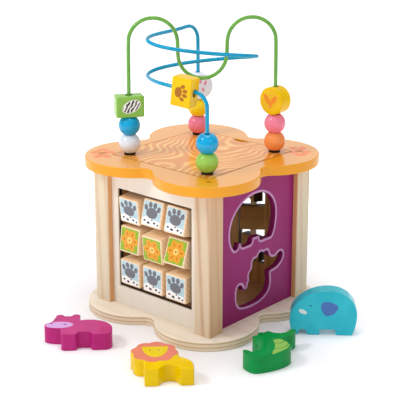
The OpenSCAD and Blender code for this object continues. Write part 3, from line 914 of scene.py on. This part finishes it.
def smooth_wire(node):
    """Wire with its facets joined to quads and rounded by subdivision."""
    piece = bare_copy(node)
    with editing(piece):
        bpy.ops.mesh.remove_doubles(threshold=WELDED_WITHIN * MM)
        bpy.ops.mesh.tris_convert_to_quads(face_threshold=radians(60), shape_threshold=radians(60))
        bpy.ops.transform.shrink_fatten(value=WIRE_SWELL * MM)
    apply(piece, "SUBSURF", levels=2, render_levels=2)
    smooth(piece, angle=60)
    return piece


for node, material in (
        ("green_wire", coated_wire("green_coating", ("#6EAA46", "#649E3E"))),
        ("blue_wire", coated_wire("blue_coating", ("#009CC4", "#0090BA")))):
    dress(smooth_wire(node), node, material)

piece = copy_of("wire_collars")
round_edges(piece, COLLAR_ROUND)
dress(piece, "wire_collars", moulded_plastic("black_plastic", ("#2A2724", "#1B1917")))


# Beads

BEAD_HOLE = 6.4
BLOCK_HOLE = 8.0
BEAD_W = 29.0
BALL_ROUND = 0.5
DISC_ROUND = 1.8
BEAD_ROUND = 1.5


def turned_ball(name):
    """Ball turned from half a circle: flats and hole are drawn on, and the profile is spun about Z."""
    half = BALL_LEN / 2 * MM
    bore = BEAD_HOLE / 2 * MM
    flat = (BALL_D ** 2 - BALL_LEN ** 2) ** 0.5 / 2 * MM
    take()
    bpy.ops.mesh.primitive_circle_add(vertices=96, radius=BALL_D / 2 * MM, rotation=(pi / 2, 0, 0))
    piece = settle(bpy.context.object, name)
    with editing(piece):
        bpy.ops.mesh.bisect(plane_co=(bore, 0, 0), plane_no=(1, 0, 0), clear_inner=True)
        for up in (1, -1):
            bpy.ops.mesh.select_all(action="SELECT")
            bpy.ops.mesh.bisect(plane_co=(0, 0, up * half), plane_no=(0, 0, up), clear_outer=True)
    ends = sorted(piece.data.vertices, key=lambda v: v.co.z)
    for end, up in ((ends[0].index, -1), (ends[-1].index, 1)):
        to_flat = Vector((flat, 0, up * half)) - piece.data.vertices[end].co
        pick(piece, "vertices", lambda v: v.index == end)
        with editing(piece, everything=False):
            bpy.ops.transform.translate(value=to_flat)
    with editing(piece, everything=False):
        for step in ((bore - flat, 0, 0), (0, 0, -2 * half), (flat - bore, 0, 0)):
            bpy.ops.mesh.extrude_region_move(TRANSFORM_OT_translate={"value": step})
        bpy.ops.mesh.select_all(action="SELECT")
        bpy.ops.mesh.remove_doubles(threshold=WELDED_WITHIN * MM)
        bpy.ops.mesh.select_all(action="SELECT")
        bpy.ops.mesh.spin(steps=64, angle=2 * pi, center=(0, 0, 0), axis=(0, 0, 1))
        bpy.ops.mesh.select_all(action="SELECT")
        bpy.ops.mesh.remove_doubles(threshold=WELDED_WITHIN * MM)
        bpy.ops.mesh.normals_make_consistent(inside=False)
    round_edges(piece, BALL_ROUND, limit=25)
    return piece


def disc_bead(name):
    """Disc on its rim, with round edges and a hole along a diameter."""
    take()
    bpy.ops.mesh.primitive_cylinder_add(
        vertices=96, radius=DISC_D / 2 * MM, depth=BEAD_T * MM, rotation=(pi / 2, 0, 0))
    piece = settle(bpy.context.object, name)
    round_edges(piece, DISC_ROUND, segments=4, limit=50)
    drill(piece, BEAD_HOLE / 2, DISC_D * 2)
    smooth(piece)
    return piece


def block_bead(name):
    """Flat block with round edges and a hole along its shorter side."""
    take()
    bpy.ops.mesh.primitive_cube_add(size=1)
    piece = bpy.context.object
    piece.scale = (BEAD_W * MM, BEAD_T * MM, BEAD_LEN * MM)
    settle(piece, name)
    round_edges(piece, BEAD_ROUND, segments=4)
    drill(piece, BLOCK_HOLE / 2, BEAD_LEN * 2)
    smooth(piece)
    return piece


BEAD_PAINTS = {
    "white": ("#EAF2FE", "#E2EAF6"),
    "blue": ("#00A6DA", "#009ACE"),
    "green": ("#8CC054", "#82B64A"),
    "orange": ("#FF9E58", "#FA924C"),
    "pink": ("#F88CA6", "#F2809C"),
    "yellow": ("#F0C200", "#E8B600"),
    # The last two paints are lighter copies of the yellow and green, painted light for the yellow and green
    # balls, which lie in shade
    "lemon": ("#FFE21A", "#F8D60C"),
    "lime": ("#A0D45A", "#94CA50")}
BALLS = {
    "white_ball": "white",
    "left_blue_ball": "blue",
    "orange_ball": "orange",
    "right_pink_ball": "pink",
    "back_pink_ball": "pink",
    "yellow_ball": "lemon",
    "green_ball": "lime",
    "front_blue_ball": "blue"}

ball_paint = {
    paint: gloss_paint(paint + "_bead", BEAD_PAINTS[paint], rough=0.14, gloss=0.4)
    for paint in sorted(set(BALLS.values()))}
ball = turned_ball("ball_pattern")
for node, paint in BALLS.items():
    dress(twin(ball, node + "_piece", middle(node)), node, ball_paint[paint])
bpy.data.objects.remove(ball)

STRIPE_PATCH = (((1.0, 0.5), (10.0, 6.2), 24),)
STRIPED = (((1.0, 0.5), (9.4, 5.6), 24),)
STRIPE_TURN = -28
STRIPE_STEP = 3.4
STRIPE_SWAY = 5.0
BEAD_PAW = (
    ((0.0, -2.6), (5.2, 4.0), 0),
    ((-6.2, 1.8), (1.9, 2.7), 24), ((-2.2, 4.6), (1.9, 2.8), 8),
    ((2.2, 4.6), (1.9, 2.8), -8), ((6.2, 1.8), (1.9, 2.7), -24))
SPROUT = (((-4.2, 1.6), (6.0, 2.6), 128), ((4.2, 1.6), (6.0, 2.6), 52), ((0.0, -4.0), (3.6, 1.7), 90))
SPOTS = (
    ((-5.6, 3.6), (1.5, 3.0), 20), ((0.0, 6.0), (1.6, 3.0), 0), ((5.6, 3.6), (1.5, 3.0), -20),
    ((-3.0, -3.6), (1.4, 2.6), -14), ((3.0, -3.6), (1.4, 2.6), 14))


def broad_side(mix, point):
    """A point as the broad sides of a bead show it, X across and Z up, and the mask of those sides."""
    x, y, z = mix.axes(point)
    return mix.flat(x, z), mix.ramp(abs(y), BEAD_T / 2 - 0.6, BEAD_T / 2 - 0.3)


def broad_marks(rows):
    """Mask function for ovals on the broad sides of a bead."""
    def mask(mix, point):
        seen, side = broad_side(mix, point)
        return mix.ovals(seen, rows) * side
    return mask


def stripes(mix, point):
    """Wavy stripes within an oval on the broad sides of a bead."""
    seen, side = broad_side(mix, point)
    across = mix.axes(mix.seen_from(seen, turn=(0, 0, radians(STRIPE_TURN))))[X]
    wave = across + (mix.noise(seen, 0.16) - 0.5) * STRIPE_SWAY
    lines = mix.ramp(abs(wave / STRIPE_STEP % 1.0 - 0.5), 0.22, 0.28)
    return mix.ovals(seen, STRIPED) * lines * side


# Angles by which the straight run of the blue wire turns and dips. The block bead on it follows them
RUN_TURN = 12.27
RUN_DIP = 6.286
run = Matrix.Rotation(radians(RUN_TURN), 3, "Z") @ Matrix.Rotation(radians(RUN_DIP), 3, "Y")
on_run = (run @ Matrix.Rotation(radians(90), 3, "Y") @ Matrix.Rotation(pi, 3, "Z")).to_euler()

SHAPED_BEADS = (
    ("green_block", block_bead, (0, 0, radians(55.5)), "green",
     ((broad_marks(STRIPE_PATCH), "#F1F1EC"), (stripes, "#3E4046"))),
    ("yellow_disc", disc_bead, (0, 0, 0), "yellow", ((broad_marks(SPROUT), "#EE8B1E"),)),
    ("white_disc", disc_bead, (0, 0, radians(60)), "white", ((broad_marks(SPOTS), "#E295AE"),)),
    ("yellow_block", block_bead, tuple(on_run), "yellow", ((broad_marks(BEAD_PAW), "#A8661E"),)))
for node, model, turn, paint, marks in SHAPED_BEADS:
    place = middle(node)
    pattern = model(node + "_pattern")
    piece = twin(pattern, node + "_piece", place, turn)
    bpy.data.objects.remove(pattern)
    dress(piece, node, gloss_paint(
        node + "_paint", BEAD_PAINTS[paint], marks=marks, place=[p / MM for p in place], turn=turn))


# Sorter pieces

PIECE_ROUND = 0.9
EYE_R = 0.9
# Height of a piece's middle over its own place, for the ones that lie and the one that stands
LYING = PIECE_T / 2
STANDING = 0.0


def on_faces(mix, point, mask, middle_z):
    """Keeps a mark to the two flat faces of a sorter piece."""
    return mask * mix.ramp(abs(mix.axes(point)[Z] - middle_z), PIECE_T / 2 - 0.5, PIECE_T / 2 - 0.2)


def flat_marks(*rows, middle_z=LYING):
    """Mask function for ovals on the flat faces."""
    return lambda mix, point: on_faces(mix, point, mix.ovals(point, rows), middle_z)


def eyes(*centres, middle_z=LYING):
    """Mask function for round eyes on the flat faces."""
    return flat_marks(*[(centre, (EYE_R, EYE_R), 0) for centre in centres], middle_z=middle_z)


MUZZLE = ((-19.4, -0.7), (13.9, 7.5), 0)
NOSTRILS = (((-27.4, 3.4), (1.9, 1.2), 30), ((-13.7, 0.3), (1.9, 1.2), 30))

MANE = (-6.7, 8.2)
MANE_R = 17.0
SCALLOPS = 8
SCALLOP_R = 9.5
SCALLOP_OUT = 13.5
SCALLOP_TURN = -10
# The paint of the mane stays this far inside its edge
MANE_INSET = 0.6
LION_BROW = 19.5
LION_FACE = ((-6.0, LION_BROW), (12.5, 22.9))


def mane(mix, point):
    """Round mane with scallops."""
    reach, angle = mix.polar(point, MANE)
    half = pi / SCALLOPS
    sector = (angle - radians(SCALLOP_TURN) + half) % (2 * half) - half
    beside = reach * sector.math("COSINE") * (2 * SCALLOP_OUT)
    to_scallop = (reach * reach + SCALLOP_OUT ** 2 - beside) ** 0.5
    disc = mix.within(reach, MANE_R - MANE_INSET, 0.2)
    scallops = mix.within(to_scallop, SCALLOP_R - MANE_INSET, 0.2)
    return on_faces(mix, point, disc | scallops, LYING)


def lion_face(mix, point):
    """Half oval with a flat top."""
    below_brow = mix.within(mix.axes(point)[Y], LION_BROW, 0.2)
    return on_faces(mix, point, mix.oval(point, *LION_FACE, soft=0.02) * below_brow, LYING)


BELLY = (
    (-9.5, -23.7), (-4.5, -22.8), (2.9, -21.2), (10.1, -19.0), (16.2, -13.6), (17.4, -8.3),
    (17.1, -3.2), (15.6, 1.6), (13.0, 3.6), (9.7, 3.8), (6.0, 1.0))
BELLY_HOLLOW = (-28.0, 10.0)
BELLY_HOLLOW_R = 35.95
# Centre and radius of each line across the belly, and the height below which they show
BELLY_LINES = (((11.1, 0.9), 6.7), ((5.7, -2.2), 13.5))
BELLY_LINE_W = 0.9
BELLY_LINE_TOP = -2.9


def belly(mix, point):
    """Pale belly patch of the crocodile, hollow toward its back and pointed toward its tail."""
    from_back = mix.polar(point, BELLY_HOLLOW)[0]
    hollow = mix.ramp(from_back, BELLY_HOLLOW_R - 0.25, BELLY_HOLLOW_R + 0.25)
    return on_faces(mix, point, mix.patch(point, BELLY, rounding=0.6) * hollow, LYING)


def belly_lines(mix, point):
    """Two bowed lines across the lower belly."""
    lines = either([mix.ring(point, centre, radius, BELLY_LINE_W) for centre, radius in BELLY_LINES])
    return belly(mix, point) * lines * mix.within(mix.axes(point)[Y], BELLY_LINE_TOP, 0.3)


EAR = (
    (0.3, -1.4), (3.2, -3.2), (10.0, -1.4), (15.0, 5.2), (14.2, 8.8),
    (6.6, 12.6), (-0.2, 12.4), (-2.6, 9.6), (-2.6, 5.2))
TUSK = ((-20.7, 1.35), (4.4, 2.2), -25)


def ear(mix, point):
    """Ear patch of the elephant."""
    return on_faces(mix, point, mix.patch(point, EAR, rounding=1.5), STANDING)


# Each piece with its paint, its place and turn, and its marks
SORTER_PIECES = (
    ("hippo", ("#BE2A7C", "#B02070"), (-30.5, -152.0, 0), (0, 0, radians(45)), (
        (flat_marks(MUZZLE), "#CE9EDA"),
        (flat_marks(*NOSTRILS), "#8A2C68"),
        (eyes((-22.6, 13.1), (-11.2, 12.4)), "#5A1A44"))),
    ("lion", ("#EAC600", "#E2BA00"), (80.5, -149.0, 0), (0, 0, radians(45)), (
        (mane, "#E0806A"),
        (lion_face, "#E4C81A"),
        (eyes((-10.9, 11.5), (-2.4, 11.0)), "#8A5A1E"))),
    ("crocodile", ("#009446", "#00883E"), (138.5, -61.5, 0), (0, 0, radians(70)), (
        (belly, "#8CBE5A"),
        (belly_lines, "#2E8F3C"),
        (eyes((4.1, 19.4), (11.0, 21.3)), "#06250F"))),
    ("elephant", ("#38C0D0", "#2CB4C6"), (140.0, 26.5, 23.75), (radians(90), 0, radians(38)), (
        (ear, "#4C74B4"),
        (flat_marks(TUSK, middle_z=STANDING), "#D9E4E4"),
        (eyes((-13.1, 8.05), middle_z=STANDING), "#1E5A70"))))
for node, paint, place, turn, marks in SORTER_PIECES:
    piece = copy_of(node)
    round_edges(piece, PIECE_ROUND)
    dress(piece, node, gloss_paint(node + "_paint", paint, marks=marks, place=place, turn=turn))


# Floor

FLOOR_W = 12000.0
FLOOR_WHITE = ("#F4F4F6", "#F0F0F3")
# The floor's glow rises from faint to full between these distances round the cube
GLOW_ROUND = (130.0, 430.0)
# To the right of the cube, as the camera sees it, the glow rises to a share of that between these
GLOW_RIGHT = (60.0, 190.0)
RIGHT_SHARE = 0.4
RIGHTWARD = (0.66, 0.75, 0.0)
FAINT_GLOW = (0.02, 0.02, 0.022, 1.0)
FULL_GLOW = (0.6, 0.6, 0.6, 1.0)

take()
bpy.ops.mesh.primitive_plane_add(size=FLOOR_W * MM)
floor = bpy.context.object
floor.name = "floor"
sweep = Finish("white_sweep", Emission_Strength=1.0)
spot = sweep.point()
dust = sweep.noise(spot, 0.01)
far_round = sweep.ramp(sweep.length(spot), *GLOW_ROUND)
far_right = sweep.ramp(sweep.reach(spot, RIGHTWARD), *GLOW_RIGHT)
floor.data.materials.append(sweep.finish(
    Base_Color=sweep.blend(dust, *FLOOR_WHITE),
    Roughness=0.75 + dust * 0.1,
    Emission_Color=sweep.blend(far_round | far_right * RIGHT_SHARE, FAINT_GLOW, FULL_GLOW)))


# Light

DIM_WALL = (0.42, 0.42, 0.43, 1.0)
BRIGHT_WALL = (0.85, 0.85, 0.86, 1.0)
TO_BRIGHT_WALL = (-0.61, 0.70, 0.37)

scene = bpy.context.scene
scene.view_settings.view_transform = "Standard"
world = scene.world or bpy.data.worlds.new("studio")
scene.world = world
studio = Mixture(world)
toward = studio.reach(studio.node("TexCoord", output="Generated"), TO_BRIGHT_WALL)
studio.put(
    studio.blend(studio.ramp(toward, 0.35, 0.8), DIM_WALL, BRIGHT_WALL),
    world.node_tree.nodes["Background"].inputs["Color"])


def softbox(name, place, aim, width, power, mirrored=True):
    """Square area light at a place, turned to what it lights. One that isn't mirrored leaves no glare."""
    bpy.ops.object.light_add(type="AREA", location=Vector(place) * MM)
    lamp = bpy.context.object
    lamp.name = name
    lamp.data.size = width * MM
    lamp.data.energy = power
    lamp.rotation_euler = (Vector(aim) - Vector(place)).to_track_quat("-Z", "Y").to_euler()
    lamp.visible_glossy = mirrored


softbox("key_light", (-650, -1200, 1450), aim=(0, 0, 120), width=400, power=11.0)
softbox("fill_light", (1500, -200, 1100), aim=(0, 0, 120), width=500, power=1.8)
softbox("front_light", (150, -1700, 750), aim=(0, 0, 100), width=800, power=4.5, mirrored=False)
softbox("top_light", (0, 0, 1800), aim=(0, 0, 100), width=900, power=11.5)


# Camera

CAMERA_AT = (788.27, -894.37, 507.96)
CAMERA_AZIMUTH = radians(41.49)
CAMERA_ELEVATION = radians(17.03)
CAMERA_SENSOR = 36.0
CAMERA_LENS = 107.63
CAMERA_SHIFT = (-0.001, -0.0584)
CAMERA_FAR = 50000.0

back = Vector((
    sin(CAMERA_AZIMUTH) * cos(CAMERA_ELEVATION),
    -cos(CAMERA_AZIMUTH) * cos(CAMERA_ELEVATION),
    sin(CAMERA_ELEVATION)))
aimed = back.to_track_quat("Z", "Y").to_euler()
bpy.ops.object.camera_add(location=Vector(CAMERA_AT) * MM, rotation=aimed)
camera = bpy.context.object
camera.data.sensor_width = CAMERA_SENSOR
camera.data.lens = CAMERA_LENS
camera.data.shift_x, camera.data.shift_y = CAMERA_SHIFT
camera.data.clip_end = CAMERA_FAR * MM
scene.camera = camera
